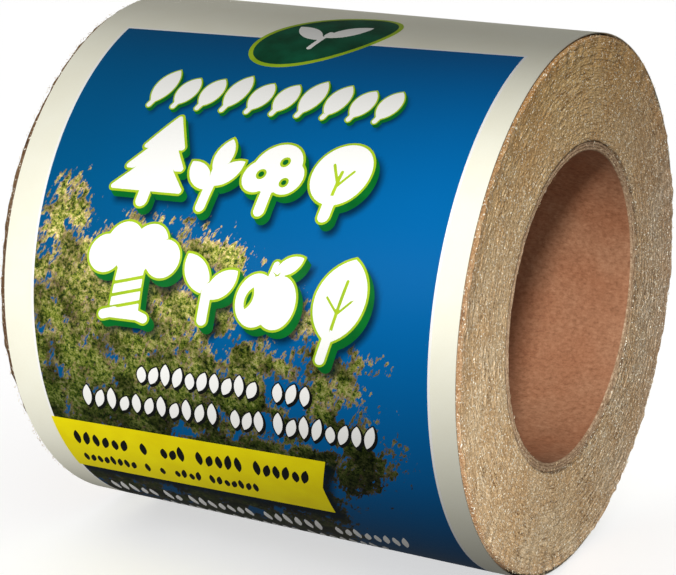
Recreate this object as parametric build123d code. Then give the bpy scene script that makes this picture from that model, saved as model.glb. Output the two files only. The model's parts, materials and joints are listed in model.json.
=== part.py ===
from build123d import *
from math import cos, pi, radians, sin, sqrt
import os

# A retail roll of tree wrap, lying on its side: creped strip wound on a paper core, inside a printed band.
# Frame: origin at the centre of the core's bore, X along the roll's axis, -Y to the label's front, Z up.
# Angles are in degrees round the axis, from the front (-Y) up over the top (+Z) to the back.

# Strip (mm)
STRIP_WIDTH = 76.2  # 3 in
STRIP_LENGTH = 15240.0  # 50 ft
STRIP_THICKNESS = 0.214  # one turn of creped paper under winding tension
WINDING_SLACK = 0.05  # between the core and the first turn

# Core (mm)
BORE_RADIUS = 23.75
PLY_NAMES = ("core_inner_ply", "core_middle_ply", "core_outer_ply")
PLY_THICKNESS = 0.45
CORE_LENGTH = 75.8  # just shorter than the strip is wide

# Adhesive stripe under the first turn and tape on the last one (mm, degrees)
START_GLUE_LENGTH = 70.0
START_GLUE_ARC = 27.0
START_ANGLE = 200.0
TAIL_ANGLE = 130.0
TAB_WIDTH = 25.0
TAB_THICKNESS = 0.06
TAB_ARC = 13.0  # on each side of the strip's end
TAB_RAMP = 1.0  # arc over which the tab drops from the strip's end to the turn below

# Printed band (mm, degrees)
LABEL_WIDTH = 75.2  # just narrower than the strip
LABEL_MIDDLE = 0.4  # the band lies this far towards the roll's +X end
LABEL_THICKNESS = 0.12
LABEL_CLEARANCE = 0.2  # lets the band slide over the tab
SEAM_ANGLE = 150.0  # where the band's outer end starts to lie on its inner end
SEAM_LAP = 14.0
SEAM_RAMP = 30.0  # arc over which the outer end climbs onto the inner one
GLUE_THICKNESS = 0.04
GLUE_INSET = 2.0  # arc from the ends of the lap to the glue
GLUE_MARGIN = 1.5  # from the band's side edges to the glue

CORE_RADIUS = BORE_RADIUS + len(PLY_NAMES) * PLY_THICKNESS
WOUND_INNER_RADIUS = CORE_RADIUS + WINDING_SLACK
WOUND_OUTER_RADIUS = sqrt(WOUND_INNER_RADIUS**2 + STRIP_LENGTH * STRIP_THICKNESS / pi)
LABEL_INNER_RADIUS = WOUND_OUTER_RADIUS + TAB_THICKNESS + LABEL_CLEARANCE
LAP_RISE = LABEL_THICKNESS + GLUE_THICKNESS
ARC_STEP = 30.0  # longest arc used to draw a curve whose radius changes


def polar(radius, angle):
    """A point of the YZ plane, as that plane's own x and y."""
    return (-radius * cos(radians(angle)), radius * sin(radians(angle)))


def curve(radius_at, start, end):
    """Arcs through the polar curve radius_at, from one angle to another."""
    count = max(1, round(abs(end - start) / ARC_STEP))
    step = (end - start) / count
    arcs = []
    for i in range(count):
        angles = [start + (i + part) * step for part in (0, 0.5, 1)]
        arcs.append(ThreePointArc(*[polar(radius_at(a), a) for a in angles]))
    return arcs


def outline(*pieces):
    """The face inside a closed run of edges drawn in the YZ plane."""
    edges = [edge for piece in pieces for edge in piece]
    return Plane.YZ * make_face(edges)


def link(first, second):
    """A straight edge from where one run of edges ends to where the next starts."""
    return [Line(first[-1] @ 1, second[0] @ 0)]


def band(inner, outer):
    """The face between an inner run of edges and an outer run drawn in the opposite direction."""
    return outline(inner, link(inner, outer), outer, link(outer, inner))


def centred(face, width, middle=0.0):
    """A face drawn in the YZ plane, made as thick as width about a point on the roll's axis."""
    return Pos(middle, 0, 0) * extrude(face, amount=width / 2, both=True)


def ring(inner_radius, outer_radius):
    return Plane.YZ * (Circle(outer_radius) - Circle(inner_radius))


def patch(inner_radius, outer_radius, start, end):
    """A face that covers part of a ring."""
    inner = curve(lambda a: inner_radius, start, end)
    outer = curve(lambda a: outer_radius, end, start)
    return band(inner, outer)


def core_plies():
    """The nested plies of the core, inmost first."""
    for i, name in enumerate(PLY_NAMES):
        inner_radius = BORE_RADIUS + i * PLY_THICKNESS
        yield name, centred(ring(inner_radius, inner_radius + PLY_THICKNESS), CORE_LENGTH)


def start_glue():
    """The adhesive stripe between the core and the first turn."""
    start, end = START_ANGLE - START_GLUE_ARC / 2, START_ANGLE + START_GLUE_ARC / 2
    return centred(patch(CORE_RADIUS, WOUND_INNER_RADIUS, start, end), START_GLUE_LENGTH)


def last_turn(angle):
    """Radius of the strip's outer face over its last turn, which ends in a step at TAIL_ANGLE."""
    return WOUND_OUTER_RADIUS - STRIP_THICKNESS * (TAIL_ANGLE + 360 - angle) / 360


def tree_wrap():
    """The wound strip. Its turns touch all the way, so it is one solid, with a step at its free end."""
    outer = curve(last_turn, TAIL_ANGLE, TAIL_ANGLE + 360)
    face = outline(outer, link(outer, outer)) - Plane.YZ * Circle(WOUND_INNER_RADIUS)
    return centred(face, STRIP_WIDTH)


def tail_tab():
    """Tape over the strip's free end: half of it on the last turn, half on the turn below."""
    end = TAIL_ANGLE + 360
    on_end = curve(last_turn, end - TAB_ARC, end)
    on_turn = curve(lambda a: last_turn(a - 360), end, end + TAB_ARC)
    inner = on_end + link(on_end, on_turn) + on_turn
    over_turn = curve(lambda a: last_turn(a - 360) + TAB_THICKNESS, end + TAB_ARC, end + TAB_RAMP)
    over_end = curve(lambda a: last_turn(a) + TAB_THICKNESS, end, end - TAB_ARC)
    outer = over_turn + link(over_turn, over_end) + over_end
    return centred(band(inner, outer), TAB_WIDTH)


def label_radius(angle):
    """Radius of the band's inner face: level, then climbing to the lap that lies on its other end."""
    climb = min(max((angle - SEAM_ANGLE - 360 + SEAM_RAMP) / SEAM_RAMP, 0), 1)
    return LABEL_INNER_RADIUS + LAP_RISE * climb**2


def printed_label():
    """The paper band, closed by lapping its outer end over its inner end."""
    stops = [SEAM_ANGLE, SEAM_ANGLE + 360 - SEAM_RAMP, SEAM_ANGLE + 360, SEAM_ANGLE + 360 + SEAM_LAP]
    inner, outer = [], []
    for start, end in zip(stops, stops[1:]):
        inner += curve(label_radius, start, end)
    for start, end in zip(stops[::-1], stops[-2::-1]):
        outer += curve(lambda a: label_radius(a) + LABEL_THICKNESS, start, end)
    return centred(band(inner, outer), LABEL_WIDTH, LABEL_MIDDLE)


def label_glue():
    """The adhesive stripe in the band's lap."""
    start, end = SEAM_ANGLE + GLUE_INSET, SEAM_ANGLE + SEAM_LAP - GLUE_INSET
    inner_radius = LABEL_INNER_RADIUS + LABEL_THICKNESS
    face = patch(inner_radius, inner_radius + GLUE_THICKNESS, start, end)
    return centred(face, LABEL_WIDTH - 2 * GLUE_MARGIN, LABEL_MIDDLE)


def main():
    nodes = dict(core_plies())
    nodes["start_glue"] = start_glue()
    nodes["tree_wrap"] = tree_wrap()
    nodes["tail_tab"] = tail_tab()
    nodes["printed_label"] = printed_label()
    nodes["label_glue"] = label_glue()
    os.makedirs("parts", exist_ok=True)
    for name, shape in nodes.items():
        export_step(shape, f"parts/{name}.step")
    print(f"wound radius {WOUND_OUTER_RADIUS:.3f} mm, label outer radius {LABEL_INNER_RADIUS + LABEL_THICKNESS:.3f} mm")


main()
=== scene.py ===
import bpy
import json
import math
import numpy as np
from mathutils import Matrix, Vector
from mathutils.geometry import delaunay_2d_cdt

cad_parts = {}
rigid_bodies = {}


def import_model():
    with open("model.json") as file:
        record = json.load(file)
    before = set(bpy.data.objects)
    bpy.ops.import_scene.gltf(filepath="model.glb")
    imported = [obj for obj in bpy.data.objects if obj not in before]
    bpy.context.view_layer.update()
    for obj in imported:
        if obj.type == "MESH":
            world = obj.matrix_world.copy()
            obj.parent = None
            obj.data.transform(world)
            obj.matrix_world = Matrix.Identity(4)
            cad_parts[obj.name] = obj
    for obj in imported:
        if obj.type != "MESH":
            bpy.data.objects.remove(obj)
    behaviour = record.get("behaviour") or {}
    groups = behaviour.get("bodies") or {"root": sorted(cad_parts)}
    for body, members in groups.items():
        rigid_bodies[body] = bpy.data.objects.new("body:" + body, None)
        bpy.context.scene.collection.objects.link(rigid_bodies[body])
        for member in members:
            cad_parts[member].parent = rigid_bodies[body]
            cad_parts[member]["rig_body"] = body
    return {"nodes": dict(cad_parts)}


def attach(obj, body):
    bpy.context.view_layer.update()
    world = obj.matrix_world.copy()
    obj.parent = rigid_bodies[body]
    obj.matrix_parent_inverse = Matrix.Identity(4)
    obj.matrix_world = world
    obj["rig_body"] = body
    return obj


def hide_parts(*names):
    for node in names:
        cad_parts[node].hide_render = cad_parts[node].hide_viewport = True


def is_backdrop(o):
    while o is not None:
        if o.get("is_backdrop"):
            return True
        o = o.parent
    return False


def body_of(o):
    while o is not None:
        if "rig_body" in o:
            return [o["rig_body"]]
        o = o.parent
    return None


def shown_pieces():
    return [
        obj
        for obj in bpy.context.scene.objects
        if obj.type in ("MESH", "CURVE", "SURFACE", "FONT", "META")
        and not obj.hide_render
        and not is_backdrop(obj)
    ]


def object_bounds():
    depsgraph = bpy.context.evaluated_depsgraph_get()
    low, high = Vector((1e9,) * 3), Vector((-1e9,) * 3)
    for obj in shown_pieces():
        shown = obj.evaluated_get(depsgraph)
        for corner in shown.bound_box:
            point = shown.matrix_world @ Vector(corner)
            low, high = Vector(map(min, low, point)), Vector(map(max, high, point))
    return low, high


# A roll of tree wrap: creped strip on a paper core, inside a printed band.
# Lengths are in mm until a mesh or a lamp is made. X runs along the roll, -Y is the label's front, Z is up.
# Angles are degrees from the front over the top.
# On the label, u is the distance along X and v the distance up the paper from the front line.

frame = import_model()
CAD_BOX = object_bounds()

MM = 0.001

# The part's own sizes
BORE_RADIUS = 23.75
PLY_THICKNESS = 0.45
CORE_LENGTH = 75.8
STRIP_WIDTH = 76.2
STRIP_THICKNESS = 0.214
WOUND_INNER_RADIUS = 25.15
WOUND_OUTER_RADIUS = 40.874
TAIL_ANGLE = 130.0
LABEL_WIDTH = 75.2
LABEL_MIDDLE = 0.4
LABEL_THICKNESS = 0.12
LABEL_RADIUS = 41.254
SEAM_ANGLE = 150.0
SEAM_LAP = 14.0
SEAM_RAMP = 30.0
LAP_RISE = 0.16

# The print
SKEW = 0.042  # how much the print climbs along the roll, because the band is wrapped slightly askew
PICTURE_LEFT, PICTURE_RIGHT = -31.8, 33.8
PICTURE_TOP, PICTURE_FOOT = 51.6, -64.0
LINE = 0.4  # pale line round the picture
UNDERSIDE = -0.03  # every printed layer starts this far under the paper's face, and ends a little above it


# ---------------------------------------------------------------- meshes


def around(x, radius, angle):
    """Points in metres at x and radius (mm) and angle (degrees)."""
    x, radius, turn = np.broadcast_arrays(x, radius, np.radians(angle))
    return np.stack([x, -radius * np.cos(turn), radius * np.sin(turn)], -1) * MM


def on_label(u, v, height):
    """Points in metres on the label's front, height mm above its paper."""
    angle = np.degrees((v + SKEW * u) / LABEL_RADIUS)
    return around(u, LABEL_RADIUS + height, angle)


def grid_faces(rows, columns, close_rows=False, close_columns=False):
    """Quads of a grid of points, as index rows."""
    i = np.arange(rows if close_rows else rows - 1)[:, None]
    j = np.arange(columns if close_columns else columns - 1)[None, :]
    i_next, j_next = (i + 1) % rows, (j + 1) % columns
    quads = [i * columns + j, i * columns + j_next, i_next * columns + j_next, i_next * columns + j]
    return np.stack(np.broadcast_arrays(*quads), -1).reshape(-1, 4)


def piece(name, points, faces, body, materials, zones=None, smooth=True):
    """A mesh object that rides on a body of the frame."""
    mesh = bpy.data.meshes.new(name)
    mesh.from_pydata(np.asarray(points).reshape(-1, 3).tolist(), [], [list(f) for f in faces])
    for material in materials:
        mesh.materials.append(material)
    if zones is not None:
        mesh.polygons.foreach_set("material_index", np.asarray(zones, np.int32))
    mesh.polygons.foreach_set("use_smooth", np.full(len(mesh.polygons), smooth))
    mesh.update()
    obj = bpy.data.objects.new(name, mesh)
    bpy.context.scene.collection.objects.link(obj)
    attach(obj, body)
    return obj


def lattice(rng, rows, columns):
    """Random values for soft_noise, the same every run."""
    return rng.uniform(-1, 1, (rows, columns))


def soft_noise(values, row, column):
    """Smooth noise from -1 to 1 between a lattice's values, repeating in both directions."""
    rows, columns = values.shape
    row, column = np.broadcast_arrays(row, column)
    i, j = np.floor(row).astype(int), np.floor(column).astype(int)
    a, b = row - i, column - j
    a, b = a * a * (3 - 2 * a), b * b * (3 - 2 * b)
    i0, i1, j0, j1 = i % rows, (i + 1) % rows, j % columns, (j + 1) % columns
    low = values[i0, j0] * (1 - b) + values[i0, j1] * b
    high = values[i1, j0] * (1 - b) + values[i1, j1] * b
    return low * (1 - a) + high * a


# ---------------------------------------------------------------- material nodes


def srgb(red, green, blue):
    """A colour from 0 to 255 as the shader's linear one."""
    shares = [level / 255 for level in (red, green, blue)]
    return (*[c / 12.92 if c < 0.0404 else ((c + 0.055) / 1.055) ** 2.4 for c in shares], 1.0)


def node(tree, kind, inputs=None, **settings):
    new = tree.nodes.new(kind)
    for key, value in settings.items():
        setattr(new, key, value)
    for key, value in (inputs or {}).items():
        if isinstance(value, bpy.types.NodeSocket):
            tree.links.new(value, new.inputs[key])
        else:
            new.inputs[key].default_value = value
    return new


def calc(tree, operation, first, second=0.0):
    return node(tree, "ShaderNodeMath", {0: first, 1: second}, operation=operation).outputs[0]


def plus(tree, first, second):
    return calc(tree, "ADD", first, second)


def minus(tree, first, second):
    return calc(tree, "SUBTRACT", first, second)


def times(tree, first, second):
    return calc(tree, "MULTIPLY", first, second)


def divided(tree, first, second):
    return calc(tree, "DIVIDE", first, second)


def blend(tree, first, second, share):
    """Two values added up, the first with the given share."""
    return plus(tree, times(tree, first, share), times(tree, second, 1 - share))


def span(tree, value, low, high, start=0.0, end=1.0):
    """value from low to high becomes start to end, and stays inside them."""
    inputs = {"Value": value, "From Min": low, "From Max": high, "To Min": start, "To Max": end}
    return node(tree, "ShaderNodeMapRange", inputs).outputs["Result"]


def mix(tree, factor, first, second, mode="MIX"):
    made = node(tree, "ShaderNodeMix", data_type="RGBA", blend_type=mode)
    for index, value in ((0, factor), (6, first), (7, second)):
        if isinstance(value, bpy.types.NodeSocket):
            tree.links.new(value, made.inputs[index])
        else:
            made.inputs[index].default_value = value
    return made.outputs[2]


def tint(tree, factor, colour, *shade):
    """The colour multiplied by a 0 to 255 shade, as far as factor says."""
    return mix(tree, factor, colour, srgb(*shade), "MULTIPLY")


def ramp(tree, value, stops):
    """Colours along a value, from (place, 0 to 255 colour) pairs."""
    made = node(tree, "ShaderNodeValToRGB", {"Fac": value})
    elements = made.color_ramp.elements
    while len(elements) < len(stops):
        elements.new(0.5)
    for element, (place, colour) in zip(elements, stops):
        element.position = place
        element.color = srgb(*colour)
    return made.outputs["Color"]


def bump(tree, height, depth, strength=1.0, normal=None):
    """A bump depth mm high."""
    inputs = {"Height": height, "Distance": depth * MM, "Strength": strength}
    if normal is not None:
        inputs["Normal"] = normal
    return node(tree, "ShaderNodeBump", inputs).outputs["Normal"]


def place_mm(tree):
    """The point being shaded, in mm."""
    place = node(tree, "ShaderNodeTexCoord").outputs["Object"]
    made = node(tree, "ShaderNodeVectorMath", {0: place, "Scale": 1000.0}, operation="SCALE")
    return made.outputs["Vector"]


def place_xyz(tree):
    return node(tree, "ShaderNodeSeparateXYZ", {0: place_mm(tree)}).outputs


def noise(tree, size, detail=2.0, roughness=0.5, vector=None):
    """Noise with features about size mm across, or size of the given vector's units."""
    inputs = {"Vector": vector or place_mm(tree), "Scale": 1 / size, "Detail": detail, "Roughness": roughness}
    return node(tree, "ShaderNodeTexNoise", inputs).outputs["Fac"]


def axis_distance(tree):
    """The distance from the roll's axis, in mm."""
    y, z = place_xyz(tree)[1:]
    flat = node(tree, "ShaderNodeCombineXYZ", {"Y": y, "Z": z}).outputs[0]
    return node(tree, "ShaderNodeVectorMath", {0: flat}, operation="LENGTH").outputs["Value"]


ENDLESS = 1e6  # the size of features that don't change in a direction


def roll_noise(tree, along, outward, round_it, radius=33.0, detail=2.0, roughness=0.5):
    """Noise whose features have these sizes along, out from and round the roll, with no seam."""
    x, y, z = place_xyz(tree)
    distance = axis_distance(tree)
    depth = plus(tree, divided(tree, distance, outward), divided(tree, x, along))
    across = times(tree, divided(tree, y, distance), radius / round_it)
    up = times(tree, divided(tree, z, distance), radius / round_it)
    vector = node(tree, "ShaderNodeCombineXYZ", {"X": depth, "Y": across, "Z": up}).outputs[0]
    return noise(tree, 1.0, detail, roughness, vector)


def material(name, **constants):
    """A new material, its node tree and its shader. Constants name the shader's sockets, with underscores."""
    made = bpy.data.materials.new(name)
    made.use_nodes = True
    tree = made.node_tree
    shader = tree.nodes["Principled BSDF"]
    for key, value in constants.items():
        shader.inputs[key.replace("_", " ")].default_value = value
    return made, tree, shader


def set_inputs(tree, shader, **sockets):
    for key, value in sockets.items():
        tree.links.new(value, shader.inputs[key.replace("_", " ")])


# ---------------------------------------------------------------- materials


def crepe_face_colour(tree, fibres):
    """The strip's face: tan, creped into fine ridges along the roll. Returns its colour and height."""
    ridges = roll_noise(tree, 0.9, ENDLESS, 0.4, 40.8, roughness=0.6)
    value = blend(tree, ridges, fibres, 0.45)
    colour = ramp(tree, value, [(0.34, (138, 106, 74)), (0.50, (184, 152, 119)), (0.66, (214, 187, 154))])
    return colour, value


def crepe_edge_colour(tree, fibres, distance):
    """The strip's cut edge, turn on turn: beige, with fine broken rings. Returns its colour and height."""
    turns = roll_noise(tree, ENDLESS, 0.17, 0.36, roughness=0.7)
    streaks = roll_noise(tree, ENDLESS, 0.34, 2.6, roughness=0.6)
    clearness = span(tree, noise(tree, 9.0, 1.0), 0.42, 0.62, 0.10, 0.55)
    rings = times(tree, minus(tree, streaks, 0.5), clearness)
    value = plus(tree, blend(tree, turns, fibres, 0.42), rings)
    colour = ramp(tree, value, [
        (0.31, (88, 64, 36)),
        (0.44, (180, 151, 112)),
        (0.58, (223, 197, 157)),
        (0.72, (252, 240, 214)),
    ])
    beside_core = span(tree, distance, 25.2, 25.6, 0.8, 0.0)
    wander = span(tree, noise(tree, 1.6, 1.0), 0.4, 0.62, 1.0, 0.3)
    return mix(tree, times(tree, beside_core, wander), colour, srgb(84, 62, 42)), value


def crepe_tints_and_painted_shade(tree, colour, x, y, z, distance):
    """The strip's colour, blotched at random, with painted shade: cooler and greyer towards the back, darker
    and warmer at the top, and darker on both ends' rims.
    """
    blotches = noise(tree, 6.0, 2.0)
    colour = tint(tree, span(tree, blotches, 0.35, 0.65, 0.0, 0.5), colour, 232, 206, 168)
    # Painted shade: cooler and greyer towards the back.
    colour = tint(tree, span(tree, y, 0.0, 40.0), colour, 226, 227, 240)
    # Painted shade: darker and warmer towards the top.
    colour = tint(tree, span(tree, z, 10.0, 36.0), colour, 246, 235, 203)
    # Painted shade on the rims: strong on the -X end's rim, slight on the +X end's rounded corner.
    rim = span(tree, distance, 40.3, 40.6)
    colour = tint(tree, times(tree, rim, span(tree, x, -37.4, -37.0, 0.85, 0.0)), colour, 128, 108, 92)
    return tint(tree, times(tree, rim, span(tree, x, 37.6, 38.0)), colour, 240, 230, 226)


def crepe_material():
    """Creped paper: its edge on the roll's ends, its face round the outside, painted glints as bright specks
    on both.
    """
    made, tree, shader = material("crepe_paper", Specular_IOR_Level=0.3)
    distance = axis_distance(tree)
    fibres = noise(tree, 0.3, 3.0, 0.75)
    face, face_height = crepe_face_colour(tree, fibres)
    edge, edge_height = crepe_edge_colour(tree, fibres, distance)
    x, y, z = place_xyz(tree)
    ragged_x = plus(tree, calc(tree, "ABSOLUTE", x), times(tree, fibres, 0.5))
    ragged_distance = plus(tree, distance, times(tree, fibres, 0.6))
    corner = times(tree, span(tree, ragged_x, 37.6, 38.5), 0.75)
    on_end = calc(tree, "MAXIMUM", corner, span(tree, ragged_distance, 39.2, 40.7, 1.0, 0.0))
    colour = crepe_tints_and_painted_shade(tree, mix(tree, on_end, face, edge), x, y, z, distance)
    # Painted glints: near-white specks mixed into the colour, where the paper is also made shinier.
    painted_glint = span(tree, noise(tree, 0.28, 1.0), 0.64, 0.68)
    colour = mix(tree, painted_glint, colour, srgb(255, 250, 230))
    rough = minus(tree, span(tree, fibres, 0.3, 0.7, 0.92, 0.7), times(tree, painted_glint, 0.35))
    height = plus(tree, face_height, times(tree, minus(tree, edge_height, face_height), on_end))
    set_inputs(tree, shader, Base_Color=colour, Roughness=rough, Normal=bump(tree, height, 0.17, 0.9))
    return made


def core_bore_material():
    """The core's kraft face: reddish brown, mottled, with faint fibres."""
    made, tree, shader = material("core_bore", Specular_IOR_Level=0.25)
    mottle = noise(tree, 0.8, 4.0, 0.75)
    fibres = roll_noise(tree, 0.8, ENDLESS, 0.35, 24.0, 3.0, 0.65)
    cloud = noise(tree, 9.0, 2.0)
    value = blend(tree, mottle, fibres, 0.55)
    colour = ramp(tree, value, [(0.30, (122, 80, 54)), (0.50, (156, 110, 80)), (0.70, (180, 134, 102))])
    colour = tint(tree, span(tree, cloud, 0.35, 0.65, 0.0, 0.35), colour, 226, 180, 146)
    rough = span(tree, fibres, 0.3, 0.7, 0.7, 0.9)
    normal = bump(tree, mottle, 0.08, 0.8, bump(tree, fibres, 0.04, 0.7))
    set_inputs(tree, shader, Base_Color=colour, Roughness=rough, Normal=normal)
    return made


def core_edge_material():
    """The core's cut end: brown board with torn fibres."""
    made, tree, shader = material("core_edge", Specular_IOR_Level=0.25)
    layers = roll_noise(tree, ENDLESS, 0.12, 0.9, 24.5, roughness=0.6)
    fuzz = noise(tree, 0.25, 3.0, 0.7)
    value = blend(tree, layers, fuzz, 0.5)
    colour = ramp(tree, value, [(0.32, (104, 76, 52)), (0.50, (164, 134, 104)), (0.70, (214, 192, 162))])
    rough = span(tree, fuzz, 0.3, 0.7, 0.8, 0.95)
    set_inputs(tree, shader, Base_Color=colour, Roughness=rough, Normal=bump(tree, value, 0.12, 0.9))
    return made


def fibre_material():
    """Loose paper fibres: pale, slightly shiny, each a little different."""
    made, tree, shader = material("paper_fibre", Specular_IOR_Level=0.45)
    change = noise(tree, 0.9, 1.0)
    colour = ramp(tree, change, [(0.36, (200, 170, 120)), (0.52, (242, 222, 178)), (0.66, (255, 248, 222))])
    set_inputs(tree, shader, Base_Color=colour, Roughness=span(tree, change, 0.3, 0.7, 0.6, 0.35))
    return made


def surface(tree, shader, value, rough, height, strength=0.8, **sockets):
    """Links a shader's roughness and relief to a value: rough is its roughness where that is low and high."""
    roughness = span(tree, value, 0.3, 0.7, *rough)
    set_inputs(tree, shader, Roughness=roughness, Normal=bump(tree, value, height, strength), **sockets)


COATED = {"Specular_IOR_Level": 0.25, "Coat_Weight": 0.06, "Coat_Roughness": 0.3}
INK_ROUGHNESS = (0.37, 0.47)
GRAIN = (0.006, 0.6)  # the height and strength of coated paper's relief


def label_paper_material():
    """Coated cream paper, with the faintest grain and cloudiness."""
    made, tree, shader = material("label_paper", **COATED)
    grain = noise(tree, 0.25, 3.0, 0.6)
    cloud = noise(tree, 5.0, 2.0)
    colour = ramp(tree, blend(tree, grain, cloud, 0.4), [(0.35, (247, 244, 223)), (0.65, (250, 248, 229))])
    surface(tree, shader, grain, (0.42, 0.5), *GRAIN, Base_Color=colour)
    return made


def label_back_material():
    """The paper's uncoated back: off-white, cloudy, with its fibres showing."""
    made, tree, shader = material("label_paper_back", Specular_IOR_Level=0.2)
    fibres = roll_noise(tree, 1.6, ENDLESS, 0.35, 41.0, 3.0, 0.65)
    cloud = noise(tree, 2.6, 3.0, 0.6)
    value = blend(tree, fibres, cloud, 0.45)
    colour = ramp(tree, value, [(0.36, (214, 208, 191)), (0.64, (236, 231, 217))])
    rough = span(tree, cloud, 0.3, 0.7, 0.75, 0.9)
    set_inputs(tree, shader, Base_Color=colour, Roughness=rough, Normal=bump(tree, value, 0.03, 0.8))
    return made


def ink_material(name, colour, dark=None):
    """Printed ink: an even colour whose gloss follows the paper's grain, or one that clouds towards dark."""
    made, tree, shader = material(name, Base_Color=colour, **COATED)
    grain = noise(tree, 0.3, 3.0, 0.6)
    if dark is not None:
        cloud = noise(tree, 4.0, 3.0)
        set_inputs(tree, shader, Base_Color=mix(tree, span(tree, cloud, 0.3, 0.7), colour, dark))
    surface(tree, shader, grain, INK_ROUGHNESS, *GRAIN)
    return made


TWIG_ANGLE = -62.0  # how the printed tree's twigs lean


def picture_sky(tree, depth, x):
    """The sky: a deep blue, darkest at the foot, where the print's navy and painted shade both darken it, and
    with painted shade towards the left.
    """
    # Darker towards the foot: partly the print's navy, partly painted shade.
    sky = ramp(tree, depth, [
        (0.00, (0, 94, 156)),
        (0.25, (0, 99, 163)),
        (0.60, (0, 93, 154)),
        (0.80, (0, 68, 108)),
        (1.00, (0, 54, 90)),
    ])
    # Painted shade: the sky darkens towards the left.
    return tint(tree, span(tree, x, -26.0, 30.0, 1.0, 0.0), sky, 208, 226, 214)


def picture_reach(tree, cover, depth, x):
    """How far a point is inside the foliage: the mesh's cover, broken up into clumps and leaning sprigs."""
    v = times(tree, depth, PICTURE_FOOT - PICTURE_TOP)
    flat = node(tree, "ShaderNodeCombineXYZ", {"X": x, "Y": v}).outputs[0]
    turn = {"Vector": flat, "Angle": math.radians(TWIG_ANGLE)}
    turned = node(tree, "ShaderNodeVectorRotate", turn, rotation_type="Z_AXIS").outputs[0]
    stretch = {0: turned, 1: (0.45, 1.25, 1.0)}
    twiggy = node(tree, "ShaderNodeVectorMath", stretch, operation="MULTIPLY").outputs["Vector"]
    sprigs = noise(tree, 0.9, 3.0, 0.7, twiggy)
    clumps = noise(tree, 3.4, 3.0, 0.62)
    reach = plus(tree, cover, times(tree, minus(tree, clumps, 0.5), 3.4))
    return plus(tree, reach, times(tree, minus(tree, sprigs, 0.5), 3.2))


def picture_leaves(tree, depth, reach):
    """The foliage: speckled olive and tan with pale twig ends, in lit and shaded masses, dark at the foot."""
    leaves = ramp(tree, noise(tree, 0.62, 5.0, 0.82), [
        (0.37, (8, 26, 24)),
        (0.44, (62, 82, 26)),
        (0.49, (126, 134, 48)),
        (0.55, (172, 164, 84)),
        (0.64, (222, 198, 156)),
    ])
    greener = span(tree, noise(tree, 2.4, 3.0, 0.6), 0.44, 0.6, 0.0, 0.6)
    leaves = tint(tree, greener, leaves, 168, 190, 110)
    leaves = tint(tree, span(tree, depth, 0.36, 0.56, 0.0, 0.8), leaves, 196, 232, 200)
    leaves = mix(tree, span(tree, reach, 0.1, 0.5, 0.55, 0.0), leaves, srgb(196, 156, 124))
    masses = span(tree, noise(tree, 4.2, 3.0, 0.6), 0.38, 0.58, 0.4, 1.35)
    light = times(tree, masses, span(tree, depth, 0.34, 0.62, 1.2, 0.13))
    return mix(tree, 1.0, leaves, light, "MULTIPLY")


def picture_material():
    """The printed picture: sky and tree tops, whose cover, shade and depth the mesh carries."""
    gloss = {"Specular_IOR_Level": 0.14, "Coat_Weight": 0.04, "Coat_Roughness": 0.3}
    made, tree, shader = material("label_picture", **gloss)
    x = place_xyz(tree)["X"]
    carried = [node(tree, "ShaderNodeAttribute", attribute_name=name) for name in ("cover", "shade", "depth")]
    cover, shade, depth = [attribute.outputs["Fac"] for attribute in carried]
    reach = picture_reach(tree, cover, depth, x)
    leaves = picture_leaves(tree, depth, reach)
    colour = mix(tree, span(tree, reach, 0.0, 0.10), picture_sky(tree, depth, x), leaves)
    colour = mix(tree, shade, colour, srgb(2, 20, 32))
    surface(tree, shader, noise(tree, 0.3, 3.0, 0.6), INK_ROUGHNESS, *GRAIN, Base_Color=colour)
    return made


def tape_material():
    """Paper tape: cream, slightly glossy, finely creped."""
    made, tree, shader = material("paper_tape", Specular_IOR_Level=0.5)
    crepe = roll_noise(tree, 1.2, ENDLESS, 0.3, 41.0)
    colour = ramp(tree, crepe, [(0.35, (222, 204, 160)), (0.65, (240, 228, 194))])
    surface(tree, shader, crepe, (0.38, 0.55), 0.03, Base_Color=colour)
    return made


def glue_material():
    """Dried adhesive: amber, uneven."""
    made, tree, shader = material("dry_glue", Specular_IOR_Level=0.5)
    pools = noise(tree, 1.4, 3.0)
    colour = ramp(tree, pools, [(0.35, (206, 178, 118)), (0.65, (232, 216, 172))])
    surface(tree, shader, pools, (0.3, 0.55), 0.03, Base_Color=colour)
    return made


# ---------------------------------------------------------------- the wound strip


def last_turn(angle):
    """Radius of the strip's face over its last turn, which ends in a step."""
    return WOUND_OUTER_RADIUS - STRIP_THICKNESS * (TAIL_ANGLE + 360 - angle) / 360


def wrap_columns():
    """Angles round the roll, from the strip's end on, closing just short of it."""
    return TAIL_ANGLE + np.append(np.arange(0, 360, 0.5), 359.94)


RIDGES = 37  # on an end face, between the core and the rim
RIDGE_ROWS = 4
RIM_DROP = 0.34  # how far the outermost ring is under the strip's face
BULGE_ROWS = 60  # rows over which the outer turns' bulge fades out
CORNER_START = 36.3  # where the strip's face starts to round off, from the middle
CORNER_X = np.array([36.3, 36.9, 37.2, 37.5, 37.7, 37.85, 37.96, 38.03, 38.07])
CORNER_FALL = np.array([0, 0, 0.01, 0.02, 0.05, 0.09, 0.15, 0.21, 0.28])
FACE_X = np.linspace(-34, 34, 24)


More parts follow.
